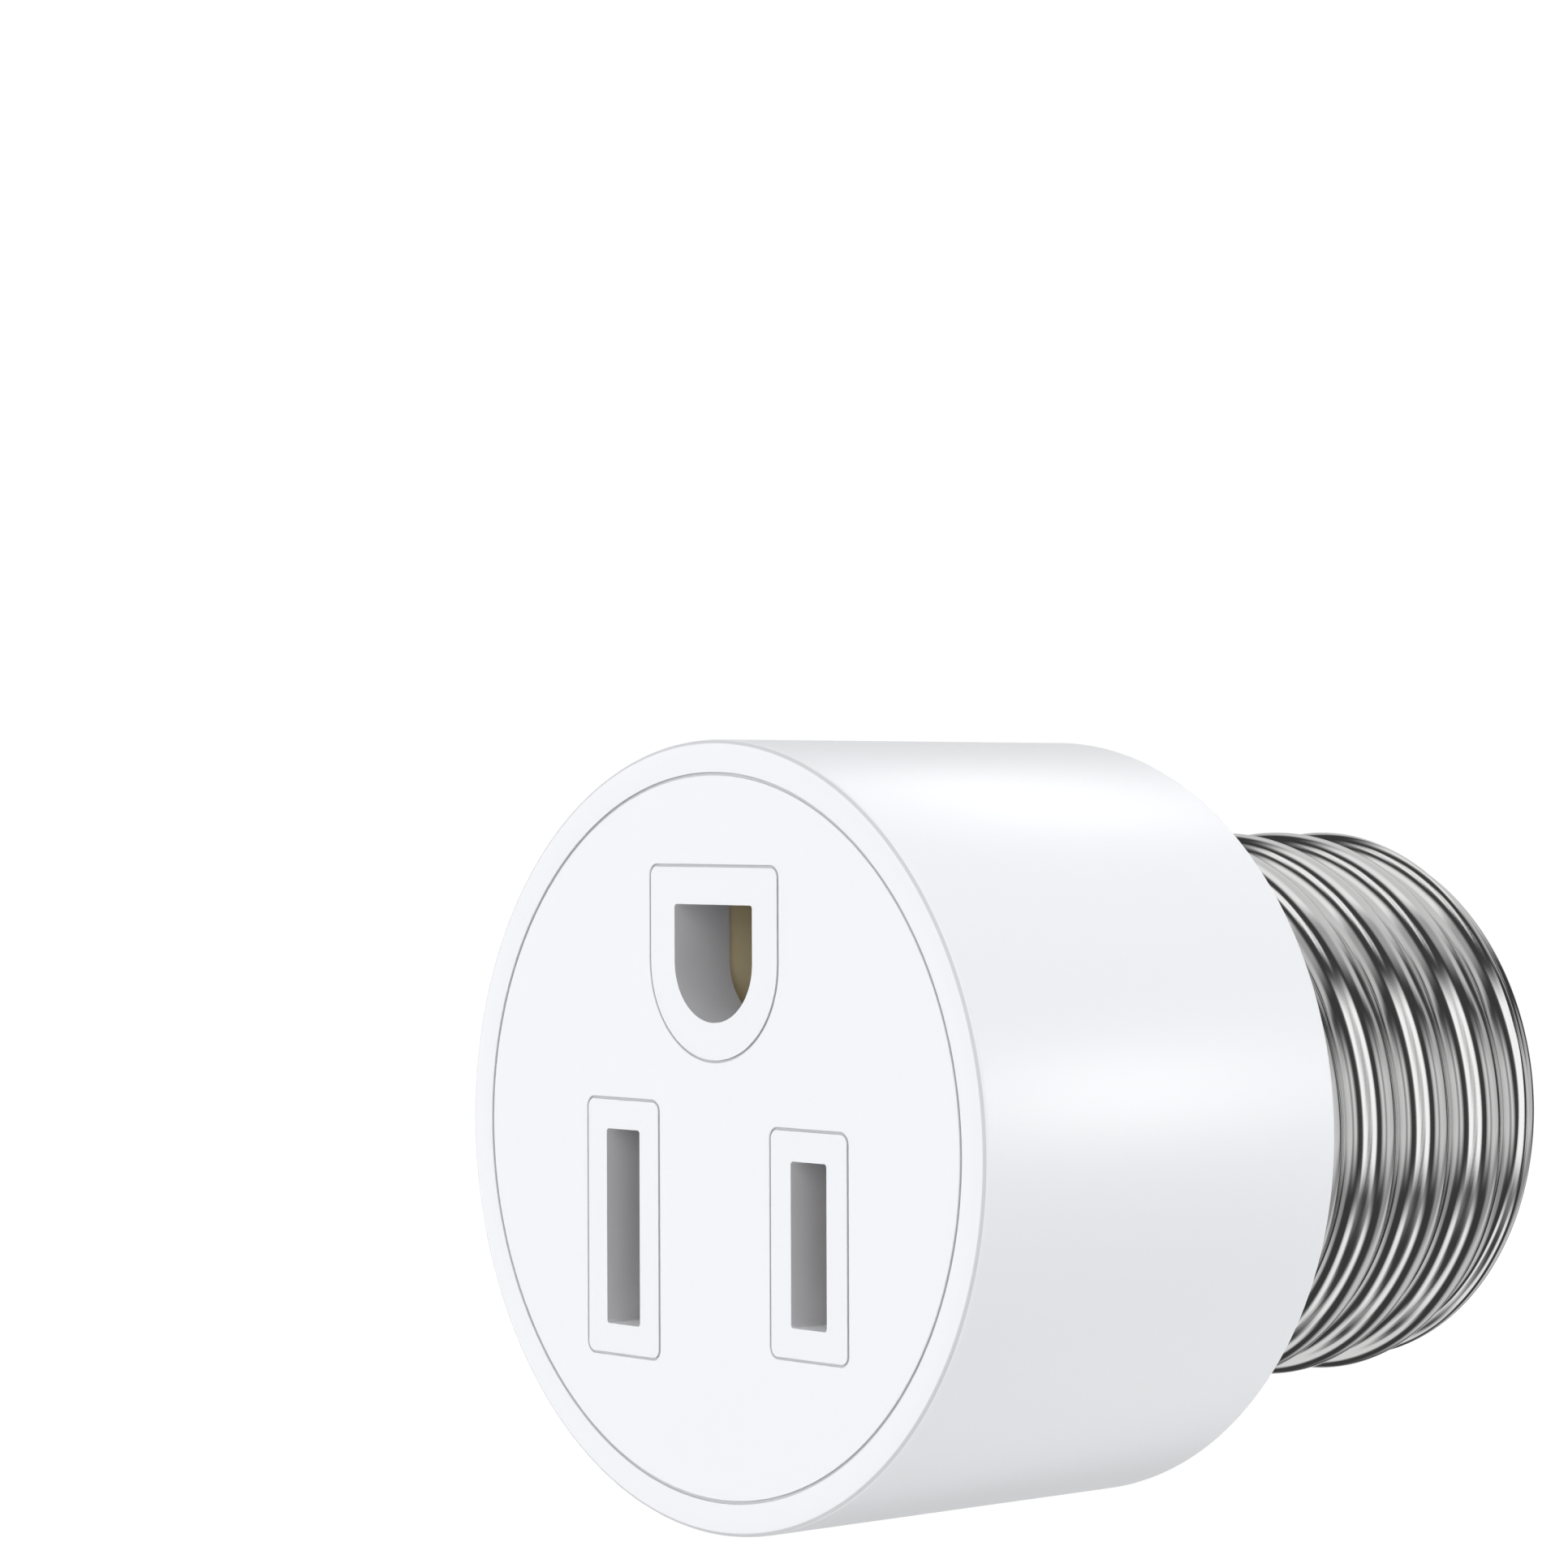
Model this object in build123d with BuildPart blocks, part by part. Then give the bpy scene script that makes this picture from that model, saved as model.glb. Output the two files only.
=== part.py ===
from build123d import *
from math import atan2, cos, degrees, hypot, pi, radians, sin, sqrt, tan
import os

os.makedirs("parts", exist_ok=True)

# Frame, in millimetres: the origin is on the axis, at the housing's rear seat.
# +X is to the right when facing the outlet, +Y runs to the screw's tip, and +Z is up, on the earth hole's side.

# Outlet pattern on the face
slot_spacing = 12.7
slot_width = 2.34
slot_centre_z = -4.37
neutral_slot_height = 8.78
line_slot_height = 7.19
slot_corner = 0.15
slot_margin = 1.315  # slot edge to the edge of its boss
earth_width = 5.31
earth_centre_z = 7.68
earth_flat_rise = 2.54  # centre of the round end to the flat top
earth_margin = 1.655
boss_corner = 0.4

# Housing
body_length = 21.3
body_radius = 17.5  # at the face
body_draft = 0.22  # degrees, narrowing to the rear
rim_width = 1.45
front_round = 0.25
rear_round = 0.3
rear_wall = 1.5
seat_recess = 0.3  # the shell's foot stands this deep in the rear seat
seat_margin = 0.2  # recess edge outside the thread's crests
plate_ledge = 0.85
block_ledge = 1.8
neck_wall = 1.8

# Face plate and contact block
plate_thickness = 2.0
plate_gap = 0.13  # parting line round the plate
window_gap = 0.11  # parting line round each boss
block_depth = 14.0  # face to the back of the block
block_fit = 0.1
tunnel_wall = 1.2  # plastic between the plate and the pockets
pocket_fit = 0.2

# Retainer and its screws
retainer_thickness = 1.2
retainer_fit = 0.2
pass_clearance = 0.15  # round the tails
screw_angles = (29, 151, 270)  # degrees from +X towards +Z
screw_edge = 2.9  # retainer's rim to the middle of a screw
screw_shank = 0.95
screw_length = 6.5
screw_head = 1.9
screw_head_height = 1.1
screw_head_round = 0.6
screw_fit = 0.05
recess_length = 1.9
recess_width = 0.45
recess_depth = 0.6

# Contact clips, bent from strip
strip = 0.6
leaf_bend = 0.8
entry_clearance = 0.15  # pocket floor to the clip's mouth
mouth_length = 2.1
spring_length = 3.4
blade_mouth = 1.75  # slot centre to the middle of a leaf, at the mouth
blade_pinch = 0.95
blade_channel = 1.65
blade_seat = 0.45  # width of leaf end that rests on the retainer
bridge_length = 4.0
bridge_clearance = 0.3
leaf_drop = 0.6  # slot's upper end to the leaf's upper edge
tail_length = 4.6
tail_width = 1.8
earth_mouth = 3.05
earth_pinch = 2.55
earth_channel = 3.0
earth_leaf_low = 2.65  # centre of the earth hole down to the leaf's lower edge
earth_leaf_high = 3.3  # and up to the top of the bridge
earth_pass_radius = 2.75

# Screw shell, with the round thread of an E26 lamp base
crest_radius = 13.1
thread_pitch = 25.4 / 7
thread_arc = 1.191  # radius of the crests and of the roots
first_crest = 8.2  # height of a crest on the +X side
thread_start = 3.0
run_in = 3.0
run_out = 0.6
shell_length = 18.5  # straight wall, up to the rolled end
shell_wall = 0.4
shell_fit = 0.05
lip_round = 0.7
lip_bore = 10.2
lip_set = 0.04  # the rolled end is drawn in from both sides of the wall
section_points = 16
sections_per_turn = 8

# Tip
flange_thickness = 1.5
nose_fit = 0.05
nose_land = 0.6
nose_height = 3.0
nose_radius = 6.0
rivet_shank = 1.5
rivet_fit = 0.03
button_radius = 4.8
button_edge = 0.35
button_height = 1.5
clench_radius = 2.2
clench_height = 0.7
tag_thickness = 0.5
tag_radius = 3.0
tag_leg_length = 4.8
tag_leg_width = 1.8

# Leads
core_radius = 0.5
sleeve_radius = 1.05
sleeve_fit = 0.02
lead_gap = 0.5  # clear of the retainer, the tag and each bare end's seat
solder_film = 0.08  # between a bare end and its seat
lead_run_in = 3.2  # straight sleeve before the first bend of the line lead
lead_run_out = 4.5  # straight sleeve after its second bend
lead_bend_share = 0.45  # of the shorter run beside a bend
outlet_height = 6.0  # where the neutral lead goes through the neck
outlet_bend = 1.2
outlet_clearance = 0.12
outlet_relief = 0.35  # more room on the tip's side, for the bend
trapped_length = 5.0
solder_radius = 0.95
solder_length = 2.2
solder_round = 0.5

# Worked out from the above
face_y = -body_length
rear_radius = body_radius - body_length * tan(radians(body_draft))
plate_bore = body_radius - rim_width
plate_radius = plate_bore - plate_gap
block_bore = plate_bore - plate_ledge
block_radius = block_bore - block_fit
cavity_radius = block_bore - block_ledge
plate_back_y = face_y + plate_thickness
block_back_y = face_y + block_depth
tunnel_depth = plate_thickness + tunnel_wall
retainer_radius = cavity_radius - retainer_fit
retainer_back_y = block_back_y + retainer_thickness
screw_circle = retainer_radius - screw_edge
screw_points = [(screw_circle * cos(radians(a)), screw_circle * sin(radians(a))) for a in screw_angles]
thread_depth = 2 * (thread_arc - sqrt(thread_arc**2 - (thread_pitch / 4) ** 2))
root_radius = crest_radius - thread_depth
plain_radius = crest_radius - thread_depth / 2
seat_radius = crest_radius + seat_margin
neck_radius = root_radius - shell_wall - shell_fit
neck_bore = neck_radius - neck_wall
lip_inner_y = shell_length + lip_round - shell_wall - lip_set
neck_length = lip_inner_y - flange_thickness
flange_radius = min(plain_radius - lip_round - nose_fit, neck_radius)
nose_base_radius = lip_bore - nose_fit
nose_top_y = lip_inner_y + nose_land + nose_height
mouth_y = face_y + tunnel_depth + entry_clearance
pinch_y = mouth_y + mouth_length
waist_y = pinch_y + spring_length
tail_end_y = block_back_y + tail_length
blade_slots = (("neutral", -slot_spacing / 2, neutral_slot_height), ("line", slot_spacing / 2, line_slot_height))


def depth_plane(depth):
    """Plane of the outlet face moved back by a depth, with X to the right and Z up."""
    return Plane.XZ.offset(body_length - depth)


def height_plane(height):
    """Plane across the axis at a height above the seat, with X to the right and Z up."""
    return Plane.XZ.offset(-height)


def earth_outline(margin, corner):
    """D outline of the earth hole, grown by a margin."""
    half = earth_width / 2 + margin
    top = earth_centre_z + earth_flat_rise + margin
    with BuildSketch() as outline:
        with BuildLine():
            Polyline((-half, earth_centre_z), (-half, top), (half, top), (half, earth_centre_z))
            ThreePointArc((half, earth_centre_z), (0, earth_centre_z - half), (-half, earth_centre_z))
        make_face()
        fillet(outline.vertices().group_by(Axis.Y)[-1], radius=corner)
    return outline.sketch


def slot_outlines(margin, corner):
    """Outlines of the two blade slots, grown by a margin."""
    with BuildSketch() as outline:
        for _, slot_x, slot_height in blade_slots:
            with Locations((slot_x, slot_centre_z)):
                RectangleRounded(slot_width + 2 * margin, slot_height + 2 * margin, corner)
    return outline.sketch


def blade_leaf_span(slot_height):
    """Lower and upper Z of a blade clip behind a slot of this height."""
    low = slot_centre_z - slot_height / 2 - bridge_clearance - strip
    high = slot_centre_z + slot_height / 2 - leaf_drop
    return low, high


earth_leaf_span = (earth_centre_z - earth_leaf_low, earth_centre_z + earth_leaf_high)
blade_pocket_width = 2 * max(blade_mouth, blade_channel) + strip + 2 * pocket_fit
earth_pocket_width = 2 * max(earth_mouth, earth_channel) + strip + 2 * pocket_fit

# The neutral lead lies in a plane through the axis, towards its clip's tail
tail_offset = slot_spacing / 2 - blade_channel
lead_offset = tail_offset - strip / 2 - solder_film - core_radius
neutral_angle = atan2(slot_centre_z, -lead_offset)
neutral_plane = Plane(
    origin=(0, 0, 0),
    x_dir=(cos(neutral_angle), 0, sin(neutral_angle)),
    z_dir=(-sin(neutral_angle), 0, cos(neutral_angle)),
)
neutral_reach = hypot(lead_offset, slot_centre_z)
trapped_reach = neck_radius - core_radius
outlet_half = core_radius + outlet_clearance

# Housing: cup with a ledge for the plate, a ledge for the block, a recess for the shell's foot, and the neck in it
with BuildPart() as housing:
    with BuildSketch(Plane.XY):
        with BuildLine():
            Polyline(
                (body_radius, face_y),
                (rear_radius, 0),
                (seat_radius, 0),
                (seat_radius, -seat_recess),
                (neck_radius, -seat_recess),
                (neck_radius, neck_length),
                (neck_bore, neck_length),
                (neck_bore, -rear_wall),
                (cavity_radius, -rear_wall),
                (cavity_radius, block_back_y),
                (block_bore, block_back_y),
                (block_bore, plate_back_y),
                (plate_bore, plate_back_y),
                (plate_bore, face_y),
                close=True,
            )
        make_face()
    revolve(axis=Axis.Y)
    fillet(housing.edges().group_by(Axis.Y)[0].sort_by(SortBy.RADIUS)[-1], radius=front_round)
    round_edges = housing.edges().filter_by(GeomType.CIRCLE)
    seat_edges = round_edges.filter_by_position(Axis.Y, -rear_round / 2, rear_round / 2)
    fillet(seat_edges.sort_by(SortBy.RADIUS)[-1], radius=rear_round)
    # Passage through the neck for the neutral lead, and the groove that traps its end
    with BuildSketch(neutral_plane):
        with Locations((neck_bore - neck_wall / 2, outlet_height - outlet_half)):
            Rectangle(2 * neck_wall, 2 * outlet_half + outlet_relief, align=(Align.MIN, Align.MIN))
        with Locations((trapped_reach - outlet_half, outlet_height - outlet_half)):
            Rectangle(2 * neck_wall, trapped_length + 2 * outlet_half, align=(Align.MIN, Align.MIN))
    extrude(amount=outlet_half, both=True, mode=Mode.SUBTRACT)
housing.part.label = "housing"
export_step(housing.part, "parts/housing.step")

# Face plate: disc in the rim, with a window for each boss of the block
with BuildPart() as face_plate:
    with BuildSketch(depth_plane(0)):
        Circle(plate_radius)
        add(earth_outline(earth_margin + window_gap, boss_corner + window_gap), mode=Mode.SUBTRACT)
        add(slot_outlines(slot_margin + window_gap, boss_corner + window_gap), mode=Mode.SUBTRACT)
    extrude(amount=-plate_thickness)
face_plate.part.label = "face_plate"
export_step(face_plate.part, "parts/face_plate.step")

# Contact block: bosses flush with the face, plug openings through them, and a pocket behind each
with BuildPart() as contact_block:
    with BuildSketch(depth_plane(plate_thickness)):
        Circle(block_radius)
    extrude(amount=plate_thickness - block_depth)
    with BuildSketch(depth_plane(plate_thickness)):
        add(earth_outline(earth_margin, boss_corner))
        add(slot_outlines(slot_margin, boss_corner))
    extrude(amount=plate_thickness)
    with BuildSketch(depth_plane(0)):
        add(earth_outline(0, slot_corner))
        add(slot_outlines(0, slot_corner))
    extrude(amount=-tunnel_depth, mode=Mode.SUBTRACT)
    with BuildSketch(depth_plane(block_depth)):
        for _, slot_x, slot_height in blade_slots:
            low, high = blade_leaf_span(slot_height)
            with Locations((slot_x, (low + high) / 2)):
                Rectangle(blade_pocket_width, high - low + 2 * pocket_fit)
        with Locations((0, sum(earth_leaf_span) / 2)):
            Rectangle(earth_pocket_width, earth_leaf_span[1] - earth_leaf_span[0] + 2 * pocket_fit)
    extrude(amount=block_depth - tunnel_depth, mode=Mode.SUBTRACT)
    with BuildSketch(depth_plane(block_depth)):
        with Locations(*screw_points):
            Circle(screw_shank + screw_fit)
    extrude(amount=screw_length - retainer_thickness + screw_fit, mode=Mode.SUBTRACT)
contact_block.part.label = "contact_block"
export_step(contact_block.part, "parts/contact_block.step")

# Retainer: disc behind the block, open for the plug's pins and the clips' tails
with BuildPart() as contact_retainer:
    with BuildSketch(depth_plane(block_depth)):
        Circle(retainer_radius)
        for _, slot_x, slot_height in blade_slots:
            with Locations((slot_x, slot_centre_z)):
                Rectangle(2 * blade_channel + strip - 2 * blade_seat, slot_height, mode=Mode.SUBTRACT)
            tail_x = slot_x - blade_channel if slot_x > 0 else slot_x + blade_channel
            with Locations((tail_x, slot_centre_z)):
                Rectangle(strip + 2 * pass_clearance, tail_width + 2 * pass_clearance, mode=Mode.SUBTRACT)
        with Locations((0, earth_centre_z)):
            Circle(earth_pass_radius, mode=Mode.SUBTRACT)
        with Locations(*screw_points):
            Circle(screw_shank + screw_fit, mode=Mode.SUBTRACT)
    extrude(amount=-retainer_thickness)
contact_retainer.part.label = "contact_retainer"
export_step(contact_retainer.part, "parts/contact_retainer.step")

# Retainer screws: round heads with a cross recess, and plain shanks in the block
with BuildPart() as retainer_screws:
    with BuildSketch(height_plane(retainer_back_y)):
        with Locations(*screw_points):
            Circle(screw_head)
    extrude(amount=-screw_head_height)
    fillet(retainer_screws.edges().group_by(Axis.Y)[-1], radius=screw_head_round)
    with BuildSketch(height_plane(retainer_back_y)):
        with Locations(*screw_points):
            Circle(screw_shank)
    extrude(amount=screw_length)
    with BuildSketch(height_plane(retainer_back_y + screw_head_height)):
        with Locations(*screw_points):
            Rectangle(recess_length, recess_width)
            Rectangle(recess_width, recess_length)
    extrude(amount=recess_depth, mode=Mode.SUBTRACT)
retainer_screws.part.label = "retainer_screws"
export_step(retainer_screws.part, "parts/retainer_screws.step")

# Blade clips: two spring leaves on a bridge below the blade, with a tail for the lead
blade_clips = {}
for clip_name, slot_x, slot_height in blade_slots:
    low, high = blade_leaf_span(slot_height)
    tail_x = slot_x - blade_channel if slot_x > 0 else slot_x + blade_channel
    with BuildPart() as blade_clip:
        with BuildSketch(Plane.XY.offset(low)):
            with BuildLine():
                FilletPolyline(
                    (slot_x + blade_channel, block_back_y),
                    (slot_x + blade_channel, waist_y),
                    (slot_x + blade_pinch, pinch_y),
                    (slot_x + blade_mouth, mouth_y),
                    radius=leaf_bend,
                )
            trace(line_width=strip)
        extrude(amount=high - low)
        mirror(about=Plane.YZ.offset(slot_x))
        with BuildSketch(Plane.XY.offset(low)):
            with Locations((slot_x, block_back_y)):
                Rectangle(2 * blade_channel + strip, bridge_length, align=(Align.CENTER, Align.MAX))
        extrude(amount=strip)
        with BuildSketch(Plane.XY.offset(slot_centre_z)):
            with Locations((tail_x, tail_end_y)):
                Rectangle(strip, tail_length + bridge_length, align=(Align.CENTER, Align.MAX))
        extrude(amount=tail_width / 2, both=True)
    blade_clip.part.label = f"{clip_name}_contact"
    export_step(blade_clip.part, f"parts/{clip_name}_contact.step")
    blade_clips[clip_name] = blade_clip.part

# Earth clip: two leaves beside the round pin, on a bridge above it
with BuildPart() as ground_contact:
    with BuildSketch(Plane.XY.offset(earth_leaf_span[0])):
        with BuildLine():
            FilletPolyline(
                (earth_channel, block_back_y),
                (earth_channel, waist_y),
                (earth_pinch, pinch_y),
                (earth_mouth, mouth_y),
                radius=leaf_bend,
            )
        trace(line_width=strip)
    extrude(amount=earth_leaf_span[1] - earth_leaf_span[0])
    mirror(about=Plane.YZ)
    with BuildSketch(Plane.XY.offset(earth_leaf_span[1])):
        with Locations((0, block_back_y)):
            Rectangle(2 * earth_channel + strip, bridge_length, align=(Align.CENTER, Align.MAX))
    extrude(amount=-strip)
ground_contact.part.label = "ground_contact"
export_step(ground_contact.part, "parts/ground_contact.step")


def thread_fade(height):
    """Share of the thread's depth at a height: none at the collar and the rolled end, all between."""
    rise = min(max((height - thread_start) / run_in, 0), 1)
    fall = min(max((shell_length - height) / run_out, 0), 1)
    return rise**2 * (3 - 2 * rise) * fall**2 * (3 - 2 * fall)


def thread_surface(height, angle):
    """Radius of the shell's outside at a height and at an angle from +X towards +Z, for a right-hand thread."""
    turn = (height - first_crest) / thread_pitch + angle / (2 * pi)
    off_crest = abs(turn - round(turn)) * thread_pitch
    if off_crest < thread_pitch / 4:
        wave = crest_radius - thread_arc + sqrt(thread_arc**2 - off_crest**2)
    else:
        wave = root_radius + thread_arc - sqrt(thread_arc**2 - (thread_pitch / 2 - off_crest) ** 2)
    return plain_radius + thread_fade(height) * (wave - plain_radius)


def thread_section(height, inset):
    """Closed outline across the shell at a height, set in from its outside."""
    outline = []
    for step in range(section_points):
        angle = 2 * pi * step / section_points
        radius = thread_surface(height, angle) - inset
        outline.append((radius * cos(angle), radius * sin(angle)))
    with BuildSketch(height_plane(height)) as section:
        with BuildLine():
            Spline(*outline, periodic=True)
        make_face()
    return section.sketch


# Screw shell: thin wall formed to the thread, with a plain collar and a rolled-in end
wall_length = shell_length + seat_recess
section_count = round(wall_length / thread_pitch * sections_per_turn)
section_heights = [wall_length * step / section_count - seat_recess for step in range(section_count + 1)]
with BuildPart() as screw_shell:
    loft([thread_section(height, 0) for height in section_heights])
    inner_heights = [-seat_recess - shell_wall, *section_heights, shell_length + shell_wall]
    loft([thread_section(height, shell_wall) for height in inner_heights], mode=Mode.SUBTRACT)
    with BuildSketch(Plane.XY):
        with BuildLine():
            outer_start = (plain_radius - lip_set, shell_length)
            inner_start = (plain_radius - shell_wall + lip_set, shell_length)
            lip_outer = JernArc(outer_start, (0, 1), lip_round - lip_set, 90)
            lip_inner = JernArc(inner_start, (0, 1), lip_inner_y - shell_length, 90)
            Line(outer_start, inner_start)
            Polyline(lip_outer @ 1, (lip_bore, lip_inner_y + shell_wall), (lip_bore, lip_inner_y), lip_inner @ 1)
        make_face()
    revolve(axis=Axis.Y)
screw_shell.part.label = "screw_shell"
export_step(screw_shell.part, "parts/screw_shell.step")

# Base insulator: flange held between the neck and the rolled end, and a cone that carries the button
with BuildPart() as base_insulator:
    with BuildSketch(Plane.XY):
        with BuildLine():
            Polyline(
                (rivet_shank + rivet_fit, neck_length),
                (flange_radius, neck_length),
                (flange_radius, lip_inner_y),
                (nose_base_radius, lip_inner_y),
                (nose_base_radius, lip_inner_y + nose_land),
                (nose_radius, nose_top_y),
                (rivet_shank + rivet_fit, nose_top_y),
                close=True,
            )
        make_face()
    revolve(axis=Axis.Y)
base_insulator.part.label = "base_insulator"
export_step(base_insulator.part, "parts/base_insulator.step")

# Centre contact: domed button, shank and clenched end in one rivet
clench_y = neck_length - tag_thickness
with BuildPart() as centre_contact:
    with BuildSketch(Plane.XY):
        with BuildLine():
            Polyline(
                (0, nose_top_y + button_height),
                (0, clench_y - clench_height),
                (clench_radius, clench_y - clench_height),
                (clench_radius, clench_y),
                (rivet_shank, clench_y),
                (rivet_shank, nose_top_y),
                (button_radius, nose_top_y),
                (button_radius, nose_top_y + button_edge),
            )
            dome_rise = button_height - button_edge
            dome_radius = (button_radius**2 + dome_rise**2) / (2 * dome_rise)
            CenterArc(
                (0, nose_top_y + button_height - dome_radius),
                dome_radius,
                90 - degrees(atan2(button_radius, dome_radius - dome_rise)),
                degrees(atan2(button_radius, dome_radius - dome_rise)),
            )
        make_face()
    revolve(axis=Axis.Y)
centre_contact.part.label = "centre_contact"
export_step(centre_contact.part, "parts/centre_contact.step")

# Centre tag: washer under the clenched end, with a leg bent along the axis for the lead
with BuildPart() as centre_tag:
    with BuildSketch(height_plane(neck_length)):
        Circle(tag_radius)
        Circle(rivet_shank + rivet_fit, mode=Mode.SUBTRACT)
    extrude(amount=tag_thickness)
    with BuildSketch(height_plane(neck_length)):
        with Locations((tag_radius, 0)):
            Rectangle(tag_thickness, tag_leg_width, align=(Align.MAX, Align.CENTER))
    extrude(amount=tag_leg_length)
centre_tag.part.label = "centre_tag"
export_step(centre_tag.part, "parts/centre_tag.step")

# Line lead: from the line clip's tail to the leg of the centre tag
lead_start_y = retainer_back_y + lead_gap
lead_end_y = clench_y - lead_gap
sleeve_start_y = tail_end_y + lead_gap
sleeve_end_y = neck_length - tag_leg_length - lead_gap
tag_reach = tag_radius + solder_film + core_radius
bend_start_y = sleeve_start_y + lead_run_in
bend_end_y = sleeve_end_y - lead_run_out
side_step = hypot(lead_offset - tag_reach, slot_centre_z)
slant_run = hypot(bend_end_y - bend_start_y, side_step)
lead_turn = atan2(side_step, bend_end_y - bend_start_y)
lead_bend = lead_bend_share * min(lead_run_in, slant_run, lead_run_out) / tan(lead_turn / 2)


def line_route(start_y, end_y):
    """Points of the line lead's middle, between two heights."""
    return (
        (lead_offset, start_y, slot_centre_z),
        (lead_offset, bend_start_y, slot_centre_z),
        (tag_reach, bend_end_y, 0),
        (tag_reach, end_y, 0),
    )


with BuildPart() as line_wire:
    with BuildLine() as line_path:
        FilletPolyline(*line_route(lead_start_y, lead_end_y), radius=lead_bend)
    with BuildSketch(Plane(line_path.line @ 0, x_dir=(1, 0, 0), z_dir=line_path.line % 0)):
        Circle(core_radius)
    sweep()
line_wire.part.label = "line_wire"
export_step(line_wire.part, "parts/line_wire.step")

with BuildPart() as line_sleeve:
    with BuildLine() as sleeve_path:
        FilletPolyline(*line_route(sleeve_start_y, sleeve_end_y), radius=lead_bend)
    with BuildSketch(Plane(sleeve_path.line @ 0, x_dir=(1, 0, 0), z_dir=sleeve_path.line % 0)):
        Circle(sleeve_radius)
        Circle(core_radius + sleeve_fit, mode=Mode.SUBTRACT)
    sweep()
line_sleeve.part.label = "line_sleeve"
export_step(line_sleeve.part, "parts/line_sleeve.step")

# Neutral lead: from the neutral clip's tail, out through the neck and along its groove under the shell
with BuildPart() as neutral_wire:
    with BuildLine(neutral_plane) as neutral_path:
        FilletPolyline(
            (neutral_reach, lead_start_y),
            (neutral_reach, outlet_height),
            (trapped_reach, outlet_height),
            (trapped_reach, outlet_height + trapped_length),
            radius=outlet_bend,
        )
    with BuildSketch(Plane(neutral_path.line @ 0, x_dir=(1, 0, 0), z_dir=neutral_path.line % 0)):
        Circle(core_radius)
    sweep()
neutral_wire.part.label = "neutral_wire"
export_step(neutral_wire.part, "parts/neutral_wire.step")

with BuildPart() as neutral_sleeve:
    with BuildSketch(height_plane(sleeve_start_y)):
        with Locations((-lead_offset, slot_centre_z)):
            Circle(sleeve_radius)
            Circle(core_radius + sleeve_fit, mode=Mode.SUBTRACT)
    extrude(amount=sleeve_start_y - outlet_height + outlet_bend + sleeve_radius)
neutral_sleeve.part.label = "neutral_sleeve"
export_step(neutral_sleeve.part, "parts/neutral_sleeve.step")

# Solder joints: a bead over each bare end where it lies on its tail or leg
joint_points = (
    (lead_offset, slot_centre_z, tail_end_y - lead_gap - solder_length),
    (-lead_offset, slot_centre_z, tail_end_y - lead_gap - solder_length),
    (tag_reach, 0, lead_end_y - lead_gap - solder_length),
)
with BuildPart() as solder_joints:
    for joint_x, joint_z, joint_y in joint_points:
        with BuildSketch(height_plane(joint_y)):
            with Locations((joint_x, joint_z)):
                Circle(solder_radius)
        extrude(amount=-solder_length)
    fillet(solder_joints.edges().filter_by(GeomType.CIRCLE), radius=solder_round)
    for inner in (line_wire.part, neutral_wire.part, centre_tag.part, *blade_clips.values()):
        add(inner, mode=Mode.SUBTRACT)
solder_joints.part.label = "solder_joints"
export_step(solder_joints.part, "parts/solder_joints.step")
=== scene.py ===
import logging
import math
from dataclasses import dataclass, field
from enum import Enum
from typing import Any, Callable, Iterable, Sequence, Union

import bmesh
import bpy
from mathutils import Matrix, Vector


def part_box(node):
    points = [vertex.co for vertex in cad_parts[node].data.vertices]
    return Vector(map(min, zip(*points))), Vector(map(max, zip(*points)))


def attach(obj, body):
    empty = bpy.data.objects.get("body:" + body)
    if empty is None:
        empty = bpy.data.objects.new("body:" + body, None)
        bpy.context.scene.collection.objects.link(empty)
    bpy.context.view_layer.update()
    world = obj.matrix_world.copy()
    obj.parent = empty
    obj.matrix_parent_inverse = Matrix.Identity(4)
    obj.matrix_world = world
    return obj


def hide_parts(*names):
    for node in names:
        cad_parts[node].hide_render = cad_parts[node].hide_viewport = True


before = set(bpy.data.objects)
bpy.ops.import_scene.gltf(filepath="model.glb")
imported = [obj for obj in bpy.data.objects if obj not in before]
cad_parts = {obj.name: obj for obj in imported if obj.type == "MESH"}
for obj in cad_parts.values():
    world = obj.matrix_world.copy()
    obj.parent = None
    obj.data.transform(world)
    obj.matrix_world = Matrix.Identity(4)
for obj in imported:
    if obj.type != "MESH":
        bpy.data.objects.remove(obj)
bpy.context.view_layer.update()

BODY = "root"
LOG = logging.getLogger("lamp_socket_adapter")

MM = 0.001
DEGREES = 180 / math.pi
HALF_TURN = 180.0
NOISE_MIDDLE = 0.5

# A radius under this is a point on the axis.
ON_AXIS = 1e-7

# Edges sharper than these stay crisp, on turned pieces and on pieces with broken edges.
TURNED_CORNER = math.radians(34)
MOULDED_CORNER = math.radians(50)

# Points closer than the first are welded, faces flatter than the second are joined, and edges sharper than
# the third are broken.
WELD_GAP = 0.0005 * MM
FLAT_ANGLE = math.radians(0.6)
SHARP_ANGLE = math.radians(40)

# Shape of a broken edge, from hollow at 0 to full at 1, and how far large faces rule its shading.
ROUND_PROFILE = 0.5
LARGE_FACE_WEIGHT = 100

Number = Union[int, float]
Point = tuple[float, float]
Span = tuple[float, float]
Place = tuple[float, float, float]
Colour = tuple[float, float, float]


class Maths(Enum):
    """Math node operations that the finishes and the dome use."""

    ADD = "ADD"
    SUBTRACT = "SUBTRACT"
    MULTIPLY = "MULTIPLY"
    ABSOLUTE = "ABSOLUTE"
    WRAP = "WRAP"
    SINE = "SINE"
    COSINE = "COSINE"
    ARCCOSINE = "ARCCOSINE"
    ARCTAN2 = "ARCTAN2"


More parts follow.
